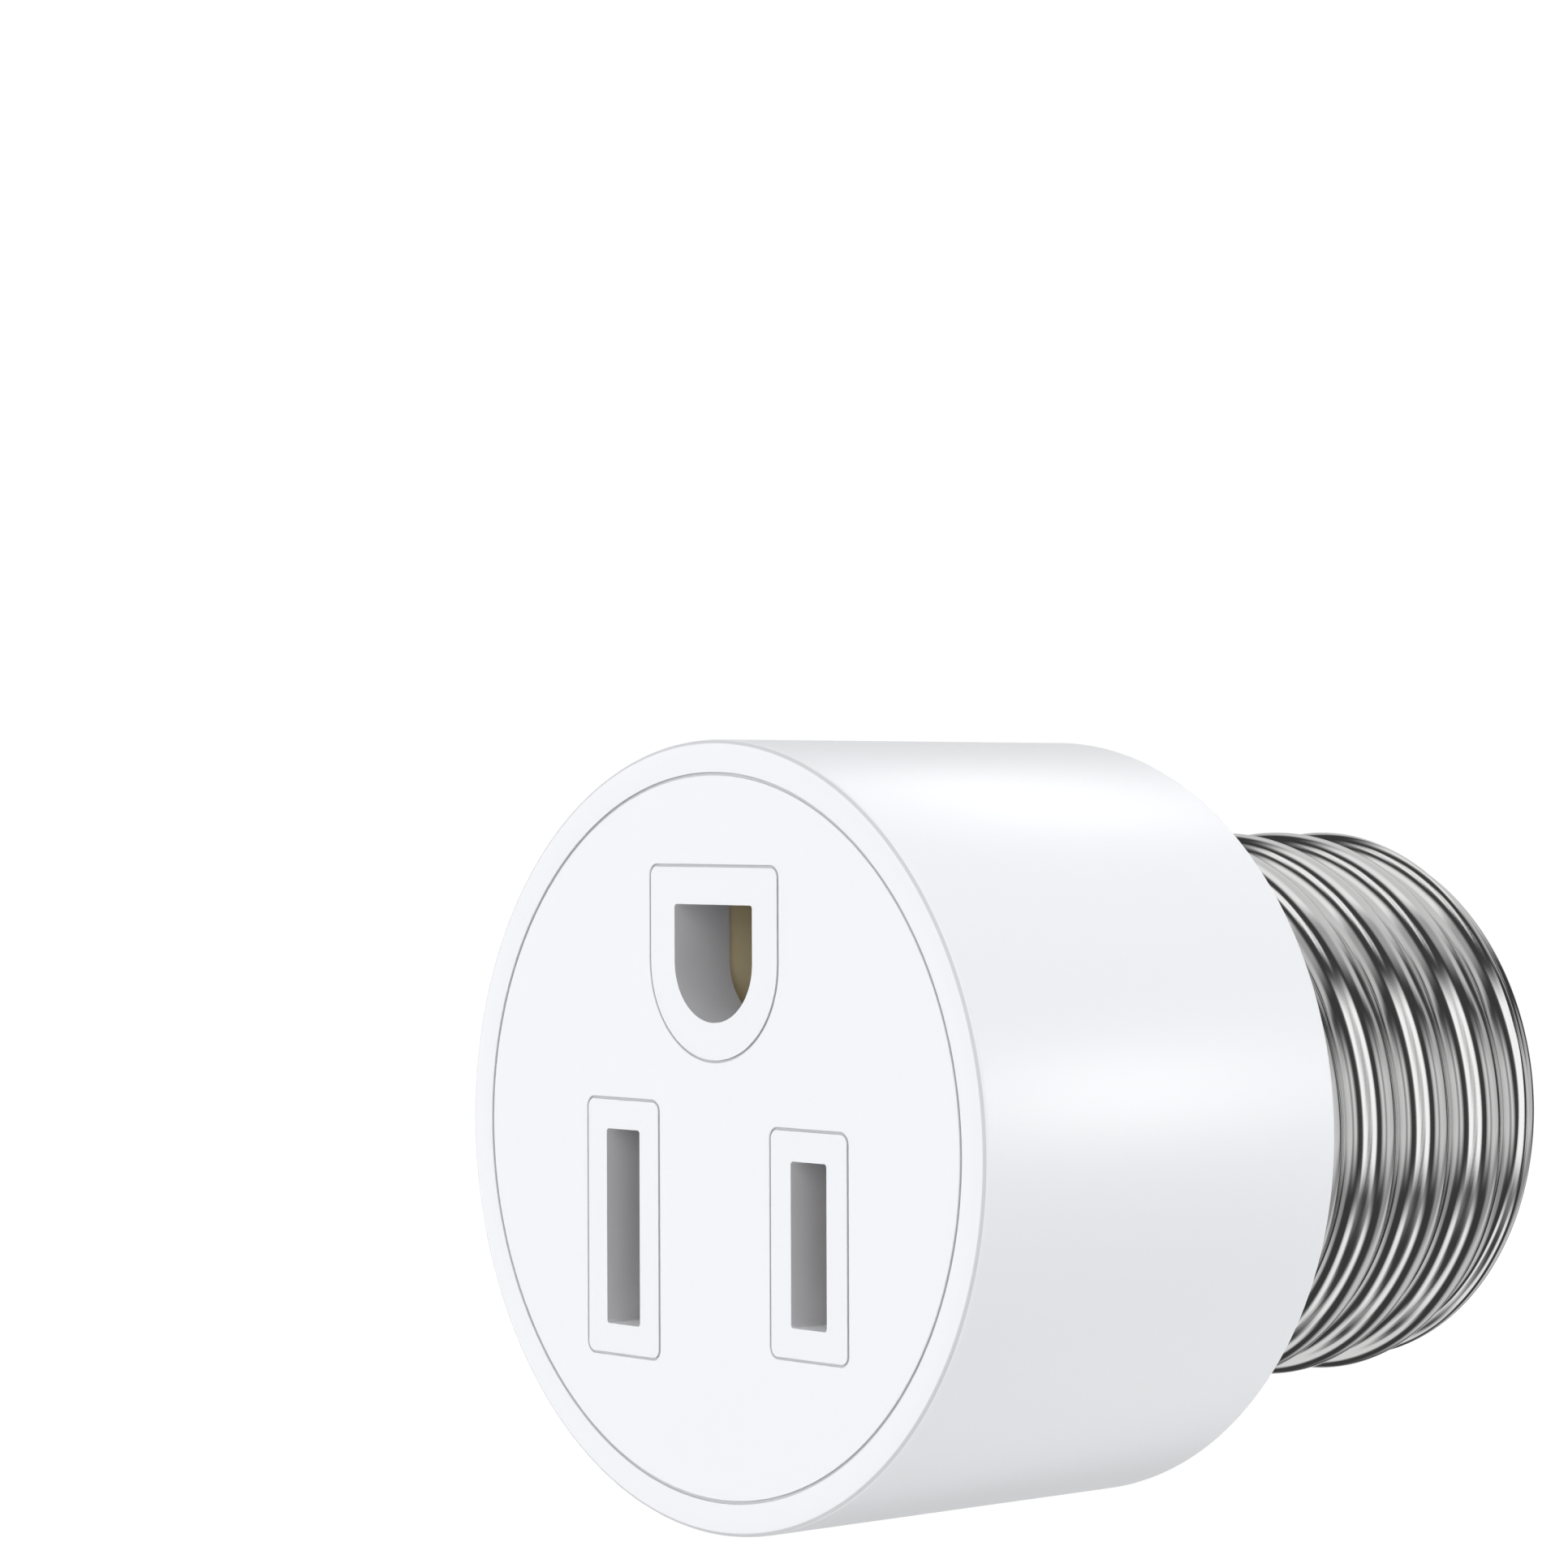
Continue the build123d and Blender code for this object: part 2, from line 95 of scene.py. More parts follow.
class Reading(Enum):
    """What a tree is read by: a place on a piece, in metres, or a direction in the dome."""

    PIECE = "Object"
    DOME = "Generated"


class Ending(Enum):
    """Output nodes that close a tree."""

    SURFACE = "ShaderNodeOutputMaterial"
    DOME = "ShaderNodeOutputWorld"


class Value:
    """A shader socket that takes part in Python expressions."""

    def __init__(self, graph: "Graph", socket: bpy.types.NodeSocket) -> None:
        """Wraps one output socket of a graph."""
        self.graph = graph
        self.socket = socket

    def __add__(self, other: "Operand") -> "Value":
        """Sum."""
        return self.graph.math(Maths.ADD, self, other)

    def __radd__(self, other: "Operand") -> "Value":
        """Sum, with the number first."""
        return self.graph.math(Maths.ADD, other, self)

    def __sub__(self, other: "Operand") -> "Value":
        """Difference."""
        return self.graph.math(Maths.SUBTRACT, self, other)

    def __rsub__(self, other: "Operand") -> "Value":
        """Difference, with the number first."""
        return self.graph.math(Maths.SUBTRACT, other, self)

    def __mul__(self, other: "Operand") -> "Value":
        """Product."""
        return self.graph.math(Maths.MULTIPLY, self, other)

    def __rmul__(self, other: "Operand") -> "Value":
        """Product, with the number first."""
        return self.graph.math(Maths.MULTIPLY, other, self)


Operand = Union[Value, Number]


class Graph:
    """The node tree of one finish, or of the studio's dome."""

    def __init__(self, owner: bpy.types.Material | bpy.types.World) -> None:
        """Empties the tree of a new material or world.

        Args:
            owner: The material or world.
        """
        self.owner = owner
        owner.use_nodes = True
        self.tree = owner.node_tree
        self.tree.nodes.clear()

    def feed(self, socket: bpy.types.NodeSocket, value: Any) -> None:
        """Links a wrapped socket to an input, or sets the input to a plain value.

        Args:
            socket: The input.
            value: A wrapped socket, or a number or colour.
        """
        if isinstance(value, Value):
            self.tree.links.new(value.socket, socket)
        else:
            socket.default_value = value

    def node(self, kind: str, settings: dict[str, Any] | None = None, **sockets: Any) -> bpy.types.Node:
        """Adds one node.

        Args:
            kind: Blender's type name of the node.
            settings: Properties that are set before the sockets.
            sockets: Values or links by socket name with underscores, or by place as in i0.

        Returns:
            The new node.
        """
        made = self.tree.nodes.new(kind)
        for key, value in (settings or {}).items():
            setattr(made, key, value)
        for key, value in sockets.items():
            place = int(key[1:]) if key[1:].isdigit() else key.replace("_", " ")
            self.feed(made.inputs[place], value)
        return made

    def math(self, operation: Maths, *operands: Operand) -> Value:
        """Adds a Math node.

        Args:
            operation: What it works out.
            operands: Wrapped sockets or plain numbers, in the node's order.

        Returns:
            The result.
        """
        sockets = {f"i{place}": operand for place, operand in enumerate(operands)}
        made = self.node("ShaderNodeMath", {"operation": operation.value}, **sockets)
        return Value(self, made.outputs[0])

    def place(self, reading: Reading = Reading.PIECE) -> Value:
        """Vector that the tree is read by."""
        return Value(self, self.node("ShaderNodeTexCoord").outputs[reading.value])

    def parts_of(self, vector: Value) -> tuple[Value, Value, Value]:
        """Splits a vector into its three numbers."""
        split = self.node("ShaderNodeSeparateXYZ", None, i0=vector)
        return Value(self, split.outputs[0]), Value(self, split.outputs[1]), Value(self, split.outputs[2])

    def joined(self, x: Operand, y: Operand, z: Operand) -> Value:
        """Makes a vector of three numbers."""
        return Value(self, self.node("ShaderNodeCombineXYZ", None, i0=x, i1=y, i2=z).outputs[0])

    def noise(self, vector: Value, per_unit: float, layers: float) -> Value:
        """Cloudy noise from 0 to 1.

        Args:
            vector: Where the noise is read.
            per_unit: Number of blotches in one unit of the vector.
            layers: Number of finer layers.

        Returns:
            The noise's level.
        """
        sockets = {"Vector": vector, "Scale": per_unit, "Detail": layers}
        made = self.node("ShaderNodeTexNoise", {"noise_dimensions": "3D"}, **sockets)
        return Value(self, made.outputs[0])

    @staticmethod
    def sway(noise: Value, swing: float) -> Value:
        """Noise that goes to both sides of zero."""
        return (noise - NOISE_MIDDLE) * swing

    def blend(self, factor: Operand, first: Colour, second: Colour) -> Value:
        """Colour between two.

        Args:
            factor: Share of the second colour, from 0 to 1.
            first: Colour at 0.
            second: Colour at 1.

        Returns:
            The colour to link to the surface.
        """
        settings = {"data_type": "RGBA", "clamp_factor": True}
        made = self.node("ShaderNodeMix", settings, i0=factor, i6=(*first, 1.0), i7=(*second, 1.0))
        return Value(self, made.outputs[2])

    def bump(self, height: Value, depth: float) -> Value:
        """Surface normal of a relief that goes from 0 to 1, with its real depth in metres."""
        made = self.node("ShaderNodeBump", None, Strength=1.0, Distance=depth, Height=height)
        return Value(self, made.outputs[0])

    def end(self, shader: bpy.types.Node, ending: Ending) -> None:
        """Links a shader to the tree's output node."""
        self.tree.links.new(shader.outputs[0], self.node(ending.value).inputs[0])

    def surface(self, **sockets: Any) -> bpy.types.Material:
        """Closes the tree with one principled surface and returns the material."""
        self.end(self.node("ShaderNodeBsdfPrincipled", None, **sockets), Ending.SURFACE)
        return self.owner


@dataclass(frozen=True)
class MouldedPlastic:
    """Injection-moulded plastic with a fine spark-eroded grain."""

    name: str
    colour: Colour
    shade: Colour
    roughness: float
    roughness_swing: float = 0.08
    refraction: float = 1.49
    grain_per_metre: float = 5200.0
    grain_layers: float = 2.0
    grain_depth: float = 0.0022 * MM
    cloud_per_metre: float = 60.0
    cloud_layers: float = 3.0

    def material(self) -> bpy.types.Material:
        """Builds the finish.

        Returns:
            The material.
        """
        graph = Graph(bpy.data.materials.new(self.name))
        place = graph.place()
        cloud = graph.noise(place, self.cloud_per_metre, self.cloud_layers)
        grain = graph.noise(place, self.grain_per_metre, self.grain_layers)
        cloudy = self.roughness + graph.sway(cloud, self.roughness_swing)
        return graph.surface(
            Base_Color=graph.blend(cloud, self.colour, self.shade),
            Roughness=cloudy + graph.sway(grain, self.roughness_swing),
            IOR=self.refraction,
            Normal=graph.bump(grain, self.grain_depth),
        )


@dataclass(frozen=True)
class DrawnNickel:
    """Bright nickel on drawn sheet, with fine lines that follow the thread."""

    name: str
    colour: Colour
    shade: Colour
    roughness: float
    pitch: float
    lines: float = 4.0
    line_layers: float = 1.0
    line_depth: float = 0.003 * MM
    line_roughness: float = 0.06
    cloud_per_metre: float = 160.0
    cloud_layers: float = 2.0

    def material(self) -> bpy.types.Material:
        """Builds the finish.

        Returns:
            The material.
        """
        graph = Graph(bpy.data.materials.new(self.name))
        place = graph.place()
        x, y, z = graph.parts_of(place)
        turn = y * (2 * math.pi / self.pitch) + graph.math(Maths.ARCTAN2, z, x)
        circle = graph.joined(graph.math(Maths.COSINE, turn), graph.math(Maths.SINE, turn), 0.0)
        lines = graph.noise(circle, self.lines, self.line_layers)
        cloud = graph.noise(place, self.cloud_per_metre, self.cloud_layers)
        return graph.surface(
            Base_Color=graph.blend(cloud, self.colour, self.shade),
            Metallic=1.0,
            Roughness=self.roughness + lines * self.line_roughness,
            Normal=graph.bump(lines, self.line_depth),
        )


@dataclass(frozen=True)
class PlainMetal:
    """Rolled or drawn metal, its fine grain stretched along the axis."""

    name: str
    colour: Colour
    shade: Colour
    roughness: float
    metallic: float = 1.0
    roughness_swing: float = 0.16
    grain_per_metre: float = 2600.0
    grain_stretch: float = 0.12
    grain_layers: float = 2.0
    grain_depth: float = 0.002 * MM
    cloud_per_metre: float = 300.0
    cloud_layers: float = 3.0

    def material(self) -> bpy.types.Material:
        """Builds the finish.

        Returns:
            The material.
        """
        graph = Graph(bpy.data.materials.new(self.name))
        place = graph.place()
        x, y, z = graph.parts_of(place)
        stretched = graph.joined(x, y * self.grain_stretch, z)
        grain = graph.noise(stretched, self.grain_per_metre, self.grain_layers)
        cloud = graph.noise(place, self.cloud_per_metre, self.cloud_layers)
        return graph.surface(
            Base_Color=graph.blend(cloud, self.colour, self.shade),
            Metallic=self.metallic,
            Roughness=self.roughness + graph.sway(grain, self.roughness_swing),
            Normal=graph.bump(grain, self.grain_depth),
        )


@dataclass(frozen=True)
class GlossyMoulding:
    """Black thermoset with a glossy, faintly uneven skin."""

    name: str
    colour: Colour
    shade: Colour
    roughness: float
    refraction: float = 1.55
    wave_per_metre: float = 420.0
    wave_layers: float = 3.0
    wave_depth: float = 0.012 * MM
    wave_roughness: float = 0.12

    def material(self) -> bpy.types.Material:
        """Builds the finish.

        Returns:
            The material.
        """
        graph = Graph(bpy.data.materials.new(self.name))
        wave = graph.noise(graph.place(), self.wave_per_metre, self.wave_layers)
        return graph.surface(
            Base_Color=graph.blend(wave, self.colour, self.shade),
            Roughness=self.roughness + wave * self.wave_roughness,
            IOR=self.refraction,
            Normal=graph.bump(wave, self.wave_depth),
        )


def smooth(mesh: bpy.types.Mesh, corner: float) -> None:
    """Shades a mesh smooth, with edges sharper than a corner angle left crisp."""
    mesh.shade_smooth()
    mesh.set_sharp_from_angle(angle=corner)


def meshed(name: str, build: bmesh.types.BMesh, corner: float) -> bpy.types.Object:
    """Turns a build's faces outwards and puts it into the scene.

    Args:
        name: Name of the piece.
        build: The build, in the row frame. It is freed.
        corner: Angle of the edges that stay crisp.

    Returns:
        The new object.
    """
    bmesh.ops.recalc_face_normals(build, faces=build.faces)
    mesh = bpy.data.meshes.new(name)
    build.to_mesh(mesh)
    build.free()
    smooth(mesh, corner)
    piece = bpy.data.objects.new(name, mesh)
    bpy.context.scene.collection.objects.link(piece)
    return piece


def skin(name: str, loops: Sequence[Sequence[Place]], closed: bool) -> bpy.types.Object:
    """Covers a stack of rings of points with quads.

    Args:
        name: Name of the piece.
        loops: Rings with the same number of points, or one point where the surface meets the axis.
        closed: True if the last ring joins the first.

    Returns:
        The new object, its faces turned outwards.
    """
    build = bmesh.new()
    rings = [[build.verts.new(point) for point in loop] for loop in loops]
    pairs = list(zip(rings, rings[1:]))
    if closed:
        pairs.append((rings[-1], rings[0]))
    for lower, upper in pairs:
        count = max(len(lower), len(upper))
        for step in range(count):
            after = (step + 1) % count
            corners = [lower[step % len(lower)], lower[after % len(lower)]]
            corners += [upper[after % len(upper)], upper[step % len(upper)]]
            build.faces.new(list(dict.fromkeys(corners)))
    return meshed(name, build, TURNED_CORNER)


def full_turn(segments: int) -> list[float]:
    """Angles of equal steps round a full turn."""
    return [2 * math.pi * step / segments for step in range(segments)]


def ring(radius: float, height: float, angles: Sequence[float]) -> list[Place]:
    """Points round the axis at one height.

    Args:
        radius: Distance from the axis.
        height: Height along the axis.
        angles: Angles from +X towards +Z.

    Returns:
        One point for each angle, or a single point on the axis.
    """
    if radius < ON_AXIS:
        return [(0.0, height, 0.0)]
    return [(radius * math.cos(angle), height, radius * math.sin(angle)) for angle in angles]


@dataclass(frozen=True)
class Corner:
    """A corner of a turned profile: distance from the axis, height along it, and rounding radius."""

    radius: float
    height: float
    round: float = 0.0


def turned_profile(corners: Sequence[Corner], steps: int = 5, closed: bool = True) -> list[Point]:
    """Points of a profile whose corners are rounded by arcs.

    Args:
        corners: Corners in order.
        steps: Straight pieces in each arc.
        closed: True if the last corner joins the first.

    Returns:
        Pairs of distance from the axis and height.
    """
    points: list[Point] = []
    for place, corner in enumerate(corners):
        here = Vector((corner.radius, corner.height))
        last_or_first = place in (0, len(corners) - 1)
        if corner.round == 0 or (last_or_first and not closed):
            points.append((here.x, here.y))
            continue
        before = corners[place - 1]
        after = corners[(place + 1) % len(corners)]
        towards_before = (Vector((before.radius, before.height)) - here).normalized()
        towards_after = (Vector((after.radius, after.height)) - here).normalized()
        half_turn = towards_before.angle(towards_after) / 2
        middle = here + (towards_before + towards_after).normalized() * (corner.round / math.sin(half_turn))
        start = here + towards_before * (corner.round / math.tan(half_turn)) - middle
        end = here + towards_after * (corner.round / math.tan(half_turn)) - middle
        sweep = start.angle_signed(end)
        for step in range(steps + 1):
            point = middle + Matrix.Rotation(-sweep * step / steps, 2) @ start
            points.append((point.x, point.y))
    return points


def turned(name: str, profile: Sequence[Point], segments: int, closed: bool) -> bpy.types.Object:
    """Revolves a profile of distances from the axis and heights along it, in a number of segments."""
    angles = full_turn(segments)
    return skin(name, [ring(radius, height, angles) for radius, height in profile], closed)


def softened(name: str, node: str, width: float, segments: int = 2) -> bpy.types.Object:
    """Copies a node and breaks its sharp edges, as moulding or stamping leaves them.

    Args:
        name: Name of the new piece.
        node: Name of the node that it copies.
        width: Width of the broken edge.
        segments: Steps across the broken edge.

    Returns:
        The new object.
    """
    build = bmesh.new()
    build.from_mesh(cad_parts[node].data)
    bmesh.ops.remove_doubles(build, verts=build.verts, dist=WELD_GAP)
    bmesh.ops.dissolve_limit(
        build,
        angle_limit=FLAT_ANGLE,
        verts=build.verts,
        edges=build.edges,
        use_dissolve_boundaries=False,
    )
    crisp = [edge for edge in build.edges if edge.is_manifold and edge.calc_face_angle() > SHARP_ANGLE]
    bmesh.ops.bevel(
        build,
        geom=crisp,
        offset=width,
        offset_type="OFFSET",
        segments=segments,
        profile=ROUND_PROFILE,
        affect="EDGES",
        clamp_overlap=True,
    )
    piece = meshed(name, build, MOULDED_CORNER)
    weighted = piece.modifiers.new("flat faces", "WEIGHTED_NORMAL")
    weighted.keep_sharp = True
    weighted.weight = LARGE_FACE_WEIGHT
    return piece


def stand_in(piece: bpy.types.Object, node: str, slot: str, *finishes: bpy.types.Material) -> None:
    """Lets a new piece stand for a node, with its finishes.

    Args:
        piece: The new piece, in place.
        node: Name of the node that it stands for.
        slot: Name of the record's material slot; not used.
        finishes: Materials of the piece, by face index.
    """
    for finish in finishes:
        piece.data.materials.append(finish)
    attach(piece, BODY)
    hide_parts(node)
    LOG.info("piece %s stands for %s", piece.name, node)


def dress_nodes(nodes: Iterable[str], finish: bpy.types.Material) -> None:
    """Gives nodes that keep their own mesh a finish.

    Args:
        nodes: Names of the nodes.
        finish: Their material.
    """
    for node in nodes:
        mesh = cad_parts[node].data
        mesh.materials.clear()
        mesh.materials.append(finish)
        LOG.info("node %s dressed in %s", node, finish.name)


def direction(azimuth: float, elevation: float) -> Vector:
    """Unit vector from the origin towards a place round the object.

    Args:
        azimuth: Degrees from straight before the outlet towards the right.
        elevation: Degrees above the level.

    Returns:
        The direction, in the row frame.
    """
    turn, rise = math.radians(azimuth), math.radians(elevation)
    level = math.cos(rise)
    return Vector((math.sin(turn) * level, -math.cos(turn) * level, math.sin(rise)))


@dataclass
class OutletBody:
    """White cup, the disc in its rim, and the block whose bosses stand in the disc's windows.

    The draft is in degrees. A facing is the share of a face's normal that points along the axis, out
    from it or up.
    """

    segments: int = 288
    rim_width: float = 1.45 * MM
    plate_ledge: float = 0.85 * MM
    block_ledge: float = 1.8 * MM
    plate_thickness: float = 2.0 * MM
    front_round: float = 0.25 * MM
    rim_edge: float = 0.05 * MM
    rear_round: float = 0.3 * MM
    draft: float = 0.22
    seat_radius: float = 13.3 * MM
    seat_recess: float = 0.3 * MM
    neck_radius: float = 11.81 * MM
    neck_wall: float = 1.8 * MM
    rear_wall: float = 1.5 * MM
    inner_edge: float = 0.1 * MM
    boss_edge: float = 0.045 * MM
    plate_gap: float = 0.13 * MM
    window_gap: float = 0.11 * MM
    seam_depth: float = 0.13 * MM
    seam_fit: float = 0.004 * MM
    floor_share: float = 0.25
    wall_facing: float = 0.3
    bore_facing: float = -0.7
    edge_facing: Span = (0.4, 0.8)
    upright_facing: float = 0.9
    front_end: float = field(init=False)
    groove_floor: float = field(init=False)
    cup: bpy.types.Object = field(init=False)
    disc: bpy.types.Object = field(init=False)
    block: bpy.types.Object = field(init=False)

    def build(self) -> None:
        """Makes the cup, the disc and the block."""
        low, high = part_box("housing")
        face = low.y
        radius = min(high.x, high.z, -low.x, -low.z)
        block_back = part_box("contact_block")[1].y
        bore = radius - self.rim_width
        block_bore = bore - self.plate_ledge
        cavity = block_bore - self.block_ledge
        rear_radius = radius + face * math.tan(math.radians(self.draft))
        neck_bore = self.neck_radius - self.neck_wall
        plate_back = face + self.plate_thickness
        profile = turned_profile(
            [
                Corner(radius, face, self.front_round),
                Corner(rear_radius, 0.0, self.rear_round),
                Corner(self.seat_radius, 0.0, self.inner_edge),
                Corner(self.seat_radius, -self.seat_recess),
                Corner(self.neck_radius, -self.seat_recess),
                Corner(self.neck_radius, high.y),
                Corner(neck_bore, high.y),
                Corner(neck_bore, -self.rear_wall),
                Corner(cavity, -self.rear_wall),
                Corner(cavity, block_back),
                Corner(block_bore, block_back),
                Corner(block_bore, plate_back),
                Corner(bore, plate_back),
                Corner(bore, face, self.rim_edge),
            ]
        )
        self.front_end = face + self.front_round
        self.groove_floor = face + self.seam_depth
        self.cup = turned("housing_cup", profile, self.segments, closed=True)
        self.disc = softened("face_disc", "face_plate", self.boss_edge)
        self.block = softened("boss_block", "contact_block", self.boss_edge)
        self.make_seams_shallow()

    def make_seams_shallow(self) -> None:
        """Widens the disc below its surface, so that the parting lines round it are shallow grooves."""
        floor = self.groove_floor
        build = bmesh.new()
        build.from_mesh(self.disc.data)
        whole = [*build.verts, *build.edges, *build.faces]
        bmesh.ops.bisect_plane(build, geom=whole, plane_co=(0.0, floor, 0.0), plane_no=(0.0, 1.0, 0.0))
        walls = [side for side in build.faces if self.sideways(side.normal)]
        walls = [side for side in walls if side.calc_center_median().y > floor]
        grown = bmesh.ops.extrude_face_region(build, geom=walls)["geom"]
        build.normal_update()
        rim = max(math.hypot(vert.co.x, vert.co.z) for vert in build.verts)
        moves = []
        for vert in grown:
            if isinstance(vert, bmesh.types.BMVert):
                out = sum((side.normal for side in vert.link_faces if self.sideways(side.normal)), Vector())
                at_rim = math.hypot(vert.co.x, vert.co.z) > rim - self.plate_gap
                gap = self.plate_gap if at_rim else self.window_gap
                moves.append((vert, out.normalized() * (gap - self.seam_fit)))
        for vert, move in moves:
            vert.co += move
        # The extrusion adds its faces in an order of its own each run, so they are sorted by their places.
        ordered = sorted(build.faces, key=lambda side: tuple(side.calc_center_median()))
        ranks = {side: rank for rank, side in enumerate(ordered)}
        build.faces.sort(key=ranks.get)
        build.to_mesh(self.disc.data)
        build.free()
        smooth(self.disc.data, MOULDED_CORNER)

    def sideways(self, normal: Vector) -> bool:
        """True on a wall that runs along the axis, as in a slot or a parting line."""
        return abs(normal.y) < self.wall_facing

    def cup_shade(self, face: bpy.types.MeshPolygon) -> bool:
        """Tells the faces of the cup that get painted shade: its bore and the rounded front edge of its
        rim.

        Args:
            face: A face of the cup.

        Returns:
            True if it gets the painted shade.
        """
        outward = face.normal.dot(Vector((face.center.x, 0.0, face.center.z)).normalized())
        low, high = self.edge_facing
        return outward < self.bore_facing or (face.center.y < self.front_end and low < outward < high)

    def disc_shade(self, face: bpy.types.MeshPolygon) -> bool:
        """True on the disc's walls and on the floor of the grooves round it, which get painted shade."""
        at_floor = abs(face.center.y - self.groove_floor) < self.seam_depth * self.floor_share
        return self.sideways(face.normal) or at_floor

    def block_shade(self, face: bpy.types.MeshPolygon) -> bool:
        """True on the block's walls, which get painted shade, apart from the slots' flat floors."""
        slot_floor = face.center.z < 0 and face.normal.z > self.upright_facing
        return self.sideways(face.normal) and not slot_floor

    @staticmethod
    def mark(piece: bpy.types.Object, shaded: Callable[[bpy.types.MeshPolygon], bool]) -> None:
        """Gives the faces that pass a test the piece's second finish, the grey of painted shade."""
        for face in piece.data.polygons:
            face.material_index = int(shaded(face))

    def dress(self) -> None:
        """Gives the three mouldings their satin whites, and a grey of painted shade in slots, in parting
        lines and on the rim's front edge.
        """
        satin = MouldedPlastic("satin white", (0.858, 0.868, 0.894), (0.843, 0.853, 0.88), 0.36)
        face = MouldedPlastic("face white", (0.858, 0.87, 0.898), (0.848, 0.86, 0.888), 0.42)
        inner = MouldedPlastic("block white", (0.853, 0.865, 0.893), (0.838, 0.85, 0.878), 0.42)
        # Painted shade: a flat grey that stands for the shade inside slots and parting lines and along the
        # rim's rounded front edge.
        painted_shade = MouldedPlastic("painted shade grey", (0.635, 0.635, 0.66), (0.605, 0.605, 0.63), 0.55).material()
        stand_in(self.cup, "housing", "housing_white", satin.material(), painted_shade)
        stand_in(self.disc, "face_plate", "face_white", face.material(), painted_shade)
        stand_in(self.block, "contact_block", "block_white", inner.material(), painted_shade)
        self.mark(self.cup, self.cup_shade)
        self.mark(self.disc, self.disc_shade)
        self.mark(self.block, self.block_shade)


@dataclass(frozen=True)
class RoundThread:
    """Round lamp thread pressed into thin sheet, right-handed."""

    crest: float = 13.1 * MM
    pitch: float = 25.4 / 7 * MM
    arc: float = 1.191 * MM
    first_crest: float = 8.2 * MM
    start: float = 2.4 * MM
    run_in: float = 1.8 * MM
    run_out: float = 0.6 * MM
    length: float = 18.5 * MM

    @property
    def depth(self) -> float:
        """Height from root to crest."""
        return 2 * (self.arc - math.sqrt(self.arc**2 - (self.pitch / 4) ** 2))

    @property
    def plain(self) -> float:
        """Radius of the unthreaded collar."""
        return self.crest - self.depth / 2

    @staticmethod
    def ease(share: float) -> float:
        """Smooth step from 0 to 1."""
        share = min(max(share, 0.0), 1.0)
        return share**2 * (3 - 2 * share)

    def radius(self, height: float, angle: float) -> float:
        """Radius of the sheet's outside.

        Args:
            height: Height above the rear seat.
            angle: Angle from +X towards +Z.

        Returns:
            Distance from the axis.
        """
        turn = (height - self.first_crest) / self.pitch + angle / (2 * math.pi)
        off_crest = abs(turn - round(turn)) * self.pitch
        if off_crest < self.pitch / 4:
            wave = self.crest - self.arc + math.sqrt(self.arc**2 - off_crest**2)
        else:
            off_root = self.pitch / 2 - off_crest
            wave = self.crest - self.depth + self.arc - math.sqrt(self.arc**2 - off_root**2)
        risen = self.ease((height - self.start) / self.run_in)
        kept = self.ease((self.length - height) / self.run_out)
        return self.plain + risen * kept * (wave - self.plain)


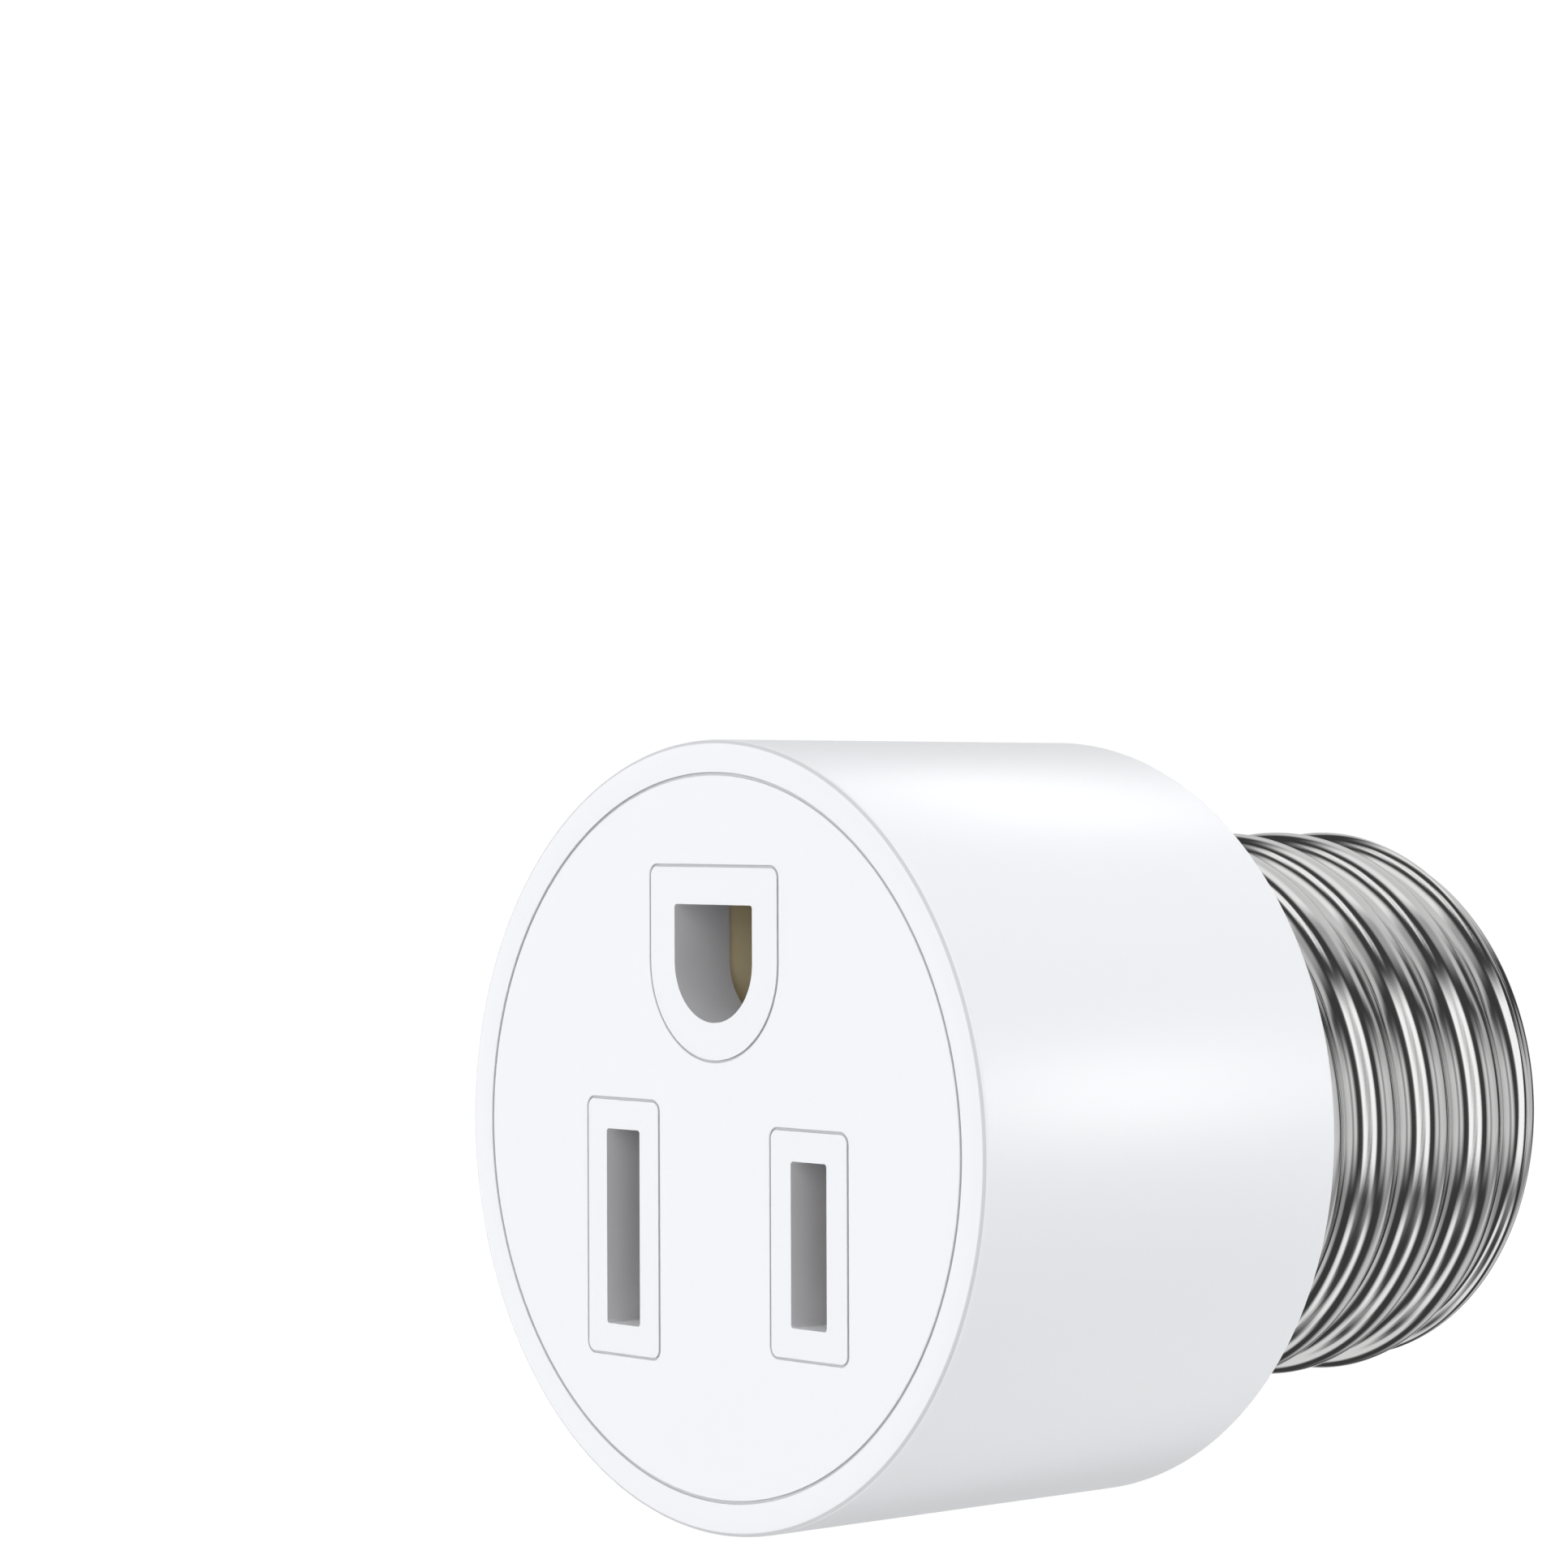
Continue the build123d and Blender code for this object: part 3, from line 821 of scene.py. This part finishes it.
@dataclass
class ScrewBase:
    """Nickel screw shell, the black plug in its rolled end, and the button on the tip."""

    thread: RoundThread = RoundThread()
    segments: int = 288
    wall: float = 0.4 * MM
    foot: float = -0.3 * MM
    outer_step: float = 0.11 * MM
    inner_step: float = 0.45 * MM
    lip_round: float = 0.7 * MM
    lip_bore: float = 10.2 * MM
    lip_steps: int = 10
    flange_thickness: float = 1.5 * MM
    nose_land: float = 0.6 * MM
    nose_radius: float = 6.0 * MM
    land_round: float = 0.3 * MM
    nose_round: float = 0.5 * MM
    rivet_shank: float = 1.5 * MM
    fit: float = 0.05 * MM
    rivet_fit: float = 0.03 * MM
    button_radius: float = 4.8 * MM
    button_edge: float = 0.35 * MM
    button_segments: int = 96
    clench_radius: float = 2.2 * MM
    clench_height: float = 0.7 * MM
    tag_thickness: float = 0.5 * MM
    dome_steps: int = 14
    shell: bpy.types.Object = field(init=False)
    plug: bpy.types.Object = field(init=False)
    button: bpy.types.Object = field(init=False)

    def heights(self, step: float) -> list[float]:
        """Heights along the wall, from its foot to the rolled end.

        Args:
            step: About how far they are apart.

        Returns:
            The heights, evenly spaced.
        """
        span = self.thread.length - self.foot
        count = round(span / step)
        return [self.foot + span * place / count for place in range(count + 1)]

    def wall_ring(self, height: float, inset: float) -> list[Place]:
        """Ring of the threaded wall.

        Args:
            height: Height above the rear seat.
            inset: Distance from the wall's outside.

        Returns:
            Points round the axis.
        """
        angles = full_turn(self.segments)
        radii = [self.thread.radius(height, angle) - inset for angle in angles]
        return [
            (radius * math.cos(angle), height, radius * math.sin(angle))
            for radius, angle in zip(radii, angles)
        ]

    def lip(self, inset: float) -> list[Point]:
        """Quarter turn of the rolled end, from the wall inwards.

        Args:
            inset: Distance from the wall's outside.

        Returns:
            Pairs of distance from the axis and height.
        """
        middle = self.thread.plain - self.lip_round
        top = self.thread.length
        bend = self.lip_round - inset
        turns = [math.pi / 2 * step / self.lip_steps for step in range(1, self.lip_steps + 1)]
        return [(middle + bend * math.cos(turn), top + bend * math.sin(turn)) for turn in turns]

    def shell_loops(self) -> list[list[Place]]:
        """Rings of the shell: up its outside, over the rolled end and down its inside.

        Returns:
            The rings, in order.
        """
        outer_lip = self.lip(0.0)
        inner_lip = self.lip(self.wall)
        mouth = [(self.lip_bore, outer_lip[-1][1]), (self.lip_bore, inner_lip[-1][1])]
        rolled_end = [*outer_lip, *mouth, *reversed(inner_lip)]
        angles = full_turn(self.segments)
        loops = [self.wall_ring(height, 0.0) for height in self.heights(self.outer_step)]
        loops += [ring(radius, height, angles) for radius, height in rolled_end]
        loops += [self.wall_ring(height, self.wall) for height in reversed(self.heights(self.inner_step))]
        return loops

    def make_plug(self) -> bpy.types.Object:
        """Black plug, its flange inside the rolled end and its nose outside.

        Returns:
            The new object.
        """
        low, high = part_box("base_insulator")
        lip_inner = low.y + self.flange_thickness
        bore = self.rivet_shank + self.rivet_fit
        nose_base = self.lip_bore - self.fit
        profile = turned_profile(
            [
                Corner(bore, low.y),
                Corner(high.x, low.y),
                Corner(high.x, lip_inner),
                Corner(nose_base, lip_inner),
                Corner(nose_base, lip_inner + self.nose_land, self.land_round),
                Corner(self.nose_radius, high.y, self.nose_round),
                Corner(bore, high.y),
            ]
        )
        return turned("tip_plug", profile, self.segments, closed=True)

    def make_button(self) -> bpy.types.Object:
        """Domed rivet on the plug's nose, clenched under the solder tag.

        Returns:
            The new object.
        """
        low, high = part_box("base_insulator")
        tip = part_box("centre_contact")[1].y
        clench = low.y - self.tag_thickness
        rise = tip - high.y - self.button_edge
        dome = (self.button_radius**2 + rise**2) / (2 * rise)
        spread = math.asin(self.button_radius / dome)
        turns = [spread * step / self.dome_steps for step in range(self.dome_steps + 1)]
        crown = [(dome * math.sin(turn), tip - dome + dome * math.cos(turn)) for turn in turns]
        under = [
            (self.button_radius, high.y),
            (self.rivet_shank, high.y),
            (self.rivet_shank, clench),
            (self.clench_radius, clench),
            (self.clench_radius, clench - self.clench_height),
            (0.0, clench - self.clench_height),
        ]
        return turned("tip_button", crown + under, self.button_segments, closed=False)

    def build(self) -> None:
        """Makes the shell, the plug and the button."""
        self.shell = skin("thread_shell", self.shell_loops(), closed=True)
        self.plug = self.make_plug()
        self.button = self.make_button()

    def dress(self) -> None:
        """Gives the shell bright nickel, the button a duller one, and the plug a glossy black."""
        pitch = self.thread.pitch
        nickel = DrawnNickel("bright nickel", (0.79, 0.787, 0.785), (0.75, 0.747, 0.745), 0.07, pitch)
        button = PlainMetal("button nickel", (0.75, 0.74, 0.72), (0.7, 0.69, 0.67), 0.3)
        black = GlossyMoulding("glossy black", (0.012, 0.012, 0.013), (0.02, 0.02, 0.021), 0.14)
        stand_in(self.shell, "screw_shell", "nickel_plate", nickel.material())
        stand_in(self.plug, "base_insulator", "insulator_black", black.material())
        stand_in(self.button, "centre_contact", "nickel_plate", button.material())


@dataclass
class ContactSet:
    """Brass clips behind the openings, the disc and screws that hold them, and the solder tag."""

    stamped_edge: float = 0.05 * MM
    stamped: Sequence[str] = ("ground_contact", "line_contact", "neutral_contact")
    clips: dict[str, bpy.types.Object] = field(default_factory=dict)

    def build(self) -> None:
        """Makes the clips with the soft edges of stamped strip."""
        for node in self.stamped:
            self.clips[node] = softened(node.replace("contact", "clip"), node, self.stamped_edge)

    def dress(self) -> None:
        """Gives the clips and the tag brass, and the retainer and its screws their own finishes."""
        brass = PlainMetal("strip brass", (0.83, 0.73, 0.5), (0.75, 0.65, 0.43), 0.42, 0.45).material()
        for node, clip in self.clips.items():
            stand_in(clip, node, "contact_brass", brass)
        dress_nodes(("centre_tag",), brass)
        grey = MouldedPlastic("retainer grey", (0.62, 0.62, 0.6), (0.56, 0.56, 0.55), 0.5)
        dress_nodes(("contact_retainer",), grey.material())
        steel = PlainMetal("screw steel", (0.62, 0.61, 0.6), (0.5, 0.5, 0.5), 0.28)
        dress_nodes(("retainer_screws",), steel.material())


@dataclass
class LeadSet:
    """The two short leads and their soldered ends, which keep the nodes' own meshes."""

    cores: Sequence[str] = ("line_wire", "neutral_wire")
    line_sleeves: Sequence[str] = ("line_sleeve",)
    neutral_sleeves: Sequence[str] = ("neutral_sleeve",)
    joints: Sequence[str] = ("solder_joints",)

    def dress(self) -> None:
        """Gives cores, sleeves and joints their finishes."""
        copper = PlainMetal("bare copper", (0.72, 0.38, 0.24), (0.6, 0.3, 0.18), 0.3)
        dress_nodes(self.cores, copper.material())
        black = MouldedPlastic("black sleeve", (0.02, 0.02, 0.02), (0.035, 0.035, 0.035), 0.45)
        dress_nodes(self.line_sleeves, black.material())
        white = MouldedPlastic("white sleeve", (0.78, 0.78, 0.76), (0.72, 0.72, 0.7), 0.45)
        dress_nodes(self.neutral_sleeves, white.material())
        solder = PlainMetal("soft solder", (0.6, 0.6, 0.62), (0.5, 0.5, 0.52), 0.24)
        dress_nodes(self.joints, solder.material())


@dataclass(frozen=True)
class SoftBox:
    """A soft light in the studio's dome, set round the object's axis, in degrees.

    The angle off the axis is 0 straight behind the tip and 180 straight before the outlet. The turn about
    the axis is 0 on the right, 90 above and -90 below. A slant shifts the box off the axis with each degree
    of turn.
    """

    name: str
    off_axis: Span
    turn: Span
    ring_edge: float
    end_edge: float
    radiance: float
    slant: float = 0.0

    @staticmethod
    def window(graph: Graph, off_middle: Value, half: float, edge: float) -> Value:
        """Level that falls from 1 to 0 across a soft edge.

        Args:
            graph: The dome's tree.
            off_middle: Angle from the middle of the box, to either side.
            half: Half of the box's span.
            edge: Width of the soft edge, centred on the span's end.

        Returns:
            The level.
        """
        ends = {"From_Min": half + edge / 2, "From_Max": max(half - edge / 2, 0.0)}
        away = graph.math(Maths.ABSOLUTE, off_middle)
        made = graph.node("ShaderNodeMapRange", {"interpolation_type": "SMOOTHSTEP"}, Value=away, **ends)
        return Value(graph, made.outputs[0])

    def glow(self, graph: Graph, off_axis: Value, turn: Value) -> Value:
        """Light of this box in a direction.

        Args:
            graph: The dome's tree.
            off_axis: Angle of the direction off the axis.
            turn: Turn of the direction about the axis.

        Returns:
            Its radiance there.
        """
        aside = graph.math(Maths.WRAP, turn - sum(self.turn) / 2, HALF_TURN, -HALF_TURN)
        off_ring = off_axis - sum(self.off_axis) / 2 - aside * self.slant
        across = self.window(graph, off_ring, (self.off_axis[1] - self.off_axis[0]) / 2, self.ring_edge)
        along = self.window(graph, aside, (self.turn[1] - self.turn[0]) / 2, self.end_edge)
        return across * along * self.radiance


@dataclass(frozen=True)
class PanelLamp:
    """A flat lamp that lights the white mouldings and the clips alone, in degrees and metres."""

    name: str
    azimuth: float
    elevation: float
    width: float
    height: float
    radiance: float
    glossy: bool = False
    reach: float = 0.6

    def hang(self, receivers: bpy.types.Collection) -> None:
        """Hangs the lamp so that it faces the origin.

        Args:
            receivers: The pieces that it lights.
        """
        light = bpy.data.lights.new(self.name, "AREA")
        light.shape = "RECTANGLE"
        light.size = self.width
        light.size_y = self.height
        light.energy = self.radiance * math.pi * self.width * self.height
        lamp = bpy.data.objects.new(self.name, light)
        away = direction(self.azimuth, self.elevation)
        turn = away.to_track_quat("Z", "Y").to_matrix().to_4x4()
        lamp.matrix_world = Matrix.Translation(away * self.reach) @ turn
        lamp.visible_camera = False
        lamp.visible_glossy = self.glossy
        bpy.context.scene.collection.objects.link(lamp)
        lamp.light_linking.receiver_collection = receivers


@dataclass
class Studio:
    """White sweep, soft boxes, lamps and the camera.

    The sweep's sizes and the camera's range are in metres, its place, lens and sensor in millimetres, and
    its angles in degrees.
    """

    floor_level: float = -0.35
    floor_reach: float = 1.6
    sweep_round: float = 0.6
    wall_height: float = 2.4
    sweep_segments: int = 96
    sweep_steps: int = 12
    sweep_glow: float = 1.02
    ambient: float = 0.06
    camera_place: Place = (163.81, -158.01, 15.27)
    camera_azimuth: float = 49.3051
    camera_elevation: float = -0.0674
    camera_roll: float = -0.1936
    lens: float = 111.40
    sensor: float = 36.0
    nearest_seen: float = 0.01
    farthest_seen: float = 20.0

    def build(self, lit: Sequence[bpy.types.Object]) -> None:
        """Makes the sweep, the lights and the camera.

        Args:
            lit: The white pieces and the clips, which have lamps of their own.
        """
        self.make_sweep()
        self.make_dome()
        receivers = bpy.data.collections.new("mouldings and clips")
        for piece in lit:
            receivers.objects.link(piece)
        for lamp in self.lamps():
            lamp.hang(receivers)
        self.make_camera()

    def make_sweep(self) -> None:
        """White floor that curves up into a wall and a ceiling all round, seen by the camera alone."""
        corners = [
            Corner(0.0, self.floor_level),
            Corner(self.floor_reach, self.floor_level, self.sweep_round),
            Corner(self.floor_reach, self.wall_height, self.sweep_round),
            Corner(0.0, self.wall_height),
        ]
        angles = full_turn(self.sweep_segments)
        profile = turned_profile(corners, self.sweep_steps, closed=False)
        lying = [ring(radius, height, angles) for radius, height in profile]
        upright = [[(x, z, y) for x, y, z in loop] for loop in lying]
        sweep = skin("floor_sweep", upright, closed=False)
        graph = Graph(bpy.data.materials.new("pale sweep"))
        glow = graph.node("ShaderNodeEmission", None, Color=(1.0, 1.0, 1.0, 1.0), Strength=self.sweep_glow)
        graph.end(glow, Ending.SURFACE)
        sweep.data.materials.append(graph.owner)
        sweep.visible_diffuse = False
        sweep.visible_glossy = False
        sweep.visible_transmission = False
        sweep.visible_shadow = False

    def make_dome(self) -> None:
        """Dark dome with soft boxes in it, which light the object and show in its nickel."""
        world = bpy.data.worlds.new("studio dome")
        graph = Graph(world)
        x, y, z = graph.parts_of(graph.place(Reading.DOME))
        off_axis = graph.math(Maths.ARCCOSINE, y) * DEGREES
        turn = graph.math(Maths.ARCTAN2, z, x) * DEGREES
        light: Operand = self.ambient
        for box in self.soft_boxes():
            light = light + box.glow(graph, off_axis, turn)
        graph.end(graph.node("ShaderNodeBackground", None, Strength=light), Ending.DOME)
        bpy.context.scene.world = world

    def soft_boxes(self) -> list[SoftBox]:
        """Lights in the dome: before the outlet, on the right, behind, above, below and on the left.

        Returns:
            The boxes.
        """
        return [
            SoftBox("front_wall", (146.0, 214.0), (-180.0, 180.0), 20.0, 0.0, 0.8),
            SoftBox("side_dip", (129.0, 150.0), (-19.0, 46.0), 8.0, 20.0, 0.58),
            SoftBox("side_white", (111.5, 129.0), (-31.0, 42.0), 9.0, 20.0, 1.42),
            SoftBox("side_grey", (67.0, 84.0), (-22.0, 22.0), 14.0, 26.0, 0.9),
            SoftBox("side_middle", (34.0, 61.0), (-26.0, 24.0), 14.0, 28.0, 0.82),
            SoftBox("rear_side", (14.0, 34.0), (-24.0, 24.0), 8.0, 20.0, 0.68),
            SoftBox("rear_core", (-14.0, 14.0), (-180.0, 180.0), 8.0, 0.0, 0.7),
            SoftBox("upper_rear", (14.0, 44.0), (24.0, 50.0), 14.0, 20.0, 0.5),
            SoftBox("high_rear", (27.0, 91.0), (74.0, 116.0), 14.0, 16.0, 0.8, -0.3),
            SoftBox("high_middle", (42.0, 66.0), (42.0, 74.0), 14.0, 16.0, 0.72),
            SoftBox("high_side", (66.0, 97.0), (50.0, 76.0), 12.0, 20.0, 0.46),
            SoftBox("high_bright", (68.0, 90.0), (76.0, 112.0), 14.0, 14.0, 0.35),
            SoftBox("high_line", (112.5, 140.0), (58.0, 118.0), 6.0, 16.0, 1.35, -0.45),
            SoftBox("far_high", (26.0, 64.0), (116.0, 146.0), 16.0, 16.0, 0.86),
            SoftBox("lower_side", (98.0, 122.0), (-52.0, -30.0), 16.0, 18.0, 0.26),
            SoftBox("lower_rear", (14.0, 52.0), (-64.0, -22.0), 12.0, 24.0, 0.36),
            SoftBox("low_rear", (12.0, 54.0), (-124.0, -64.0), 18.0, 24.0, 0.74),
            SoftBox("low_white", (91.0, 110.0), (-90.0, -44.0), 12.0, 20.0, 1.2),
            SoftBox("low_line", (82.0, 100.0), (-134.0, -90.0), 10.0, 16.0, 0.95),
            SoftBox("left_rear", (14.0, 62.0), (150.0, 214.0), 12.0, 24.0, 0.8),
            SoftBox("left_grey", (62.0, 94.0), (150.0, 210.0), 12.0, 24.0, 0.4),
            SoftBox("left_white", (100.0, 134.0), (150.0, 210.0), 12.0, 20.0, 1.0),
        ]

    def lamps(self) -> list[PanelLamp]:
        """Wide fill for the white mouldings, and two smaller lamps that band the side of the cup.

        Returns:
            The lamps.
        """
        return [
            PanelLamp("front_fill", 0.0, 8.0, 0.7, 0.7, 2.24),
            PanelLamp("right_fill", 90.0, 0.0, 0.6, 0.6, 1.03),
            PanelLamp("left_fill", 270.0, 4.0, 0.5, 0.5, 1.9),
            PanelLamp("rear_fill", 180.0, 6.0, 0.5, 0.5, 2.4),
            PanelLamp("top_fill", 90.0, 80.0, 0.6, 0.6, 0.51),
            PanelLamp("under_fill", 250.0, -75.0, 0.6, 0.6, 1.83),
            PanelLamp("high_band", 203.0, 44.0, 0.2, 0.14, 3.31, glossy=True),
            PanelLamp("side_band", 131.0, 8.0, 0.16, 0.18, 9.16, glossy=True),
        ]

    def make_camera(self) -> None:
        """Camera of the photograph: a long lens, held level."""
        azimuth, roll = math.radians(self.camera_azimuth), math.radians(self.camera_roll)
        right = Vector((math.cos(azimuth), math.sin(azimuth), 0.0))
        back = direction(self.camera_azimuth, self.camera_elevation)
        up = back.cross(right)
        across = right * math.cos(roll) + up * math.sin(roll)
        upward = up * math.cos(roll) - right * math.sin(roll)
        turn = Matrix((across, upward, back)).transposed().to_4x4()
        lens = bpy.data.cameras.new("photo_camera")
        lens.sensor_width = self.sensor
        lens.lens = self.lens
        lens.clip_start = self.nearest_seen
        lens.clip_end = self.farthest_seen
        camera = bpy.data.objects.new("photo_camera", lens)
        camera.matrix_world = Matrix.Translation(Vector(self.camera_place) * MM) @ turn
        bpy.context.scene.collection.objects.link(camera)
        bpy.context.scene.camera = camera


def main() -> None:
    """Builds and dresses every sub-assembly, then the studio."""
    logging.basicConfig(level=logging.INFO, format="%(name)s: %(message)s")
    bpy.context.scene.view_settings.view_transform = "Standard"
    body = OutletBody()
    body.build()
    body.dress()
    base = ScrewBase()
    base.build()
    base.dress()
    contacts = ContactSet()
    contacts.build()
    contacts.dress()
    LeadSet().dress()
    Studio().build([body.cup, body.disc, body.block, *contacts.clips.values()])


if __name__ == "__main__":
    main()
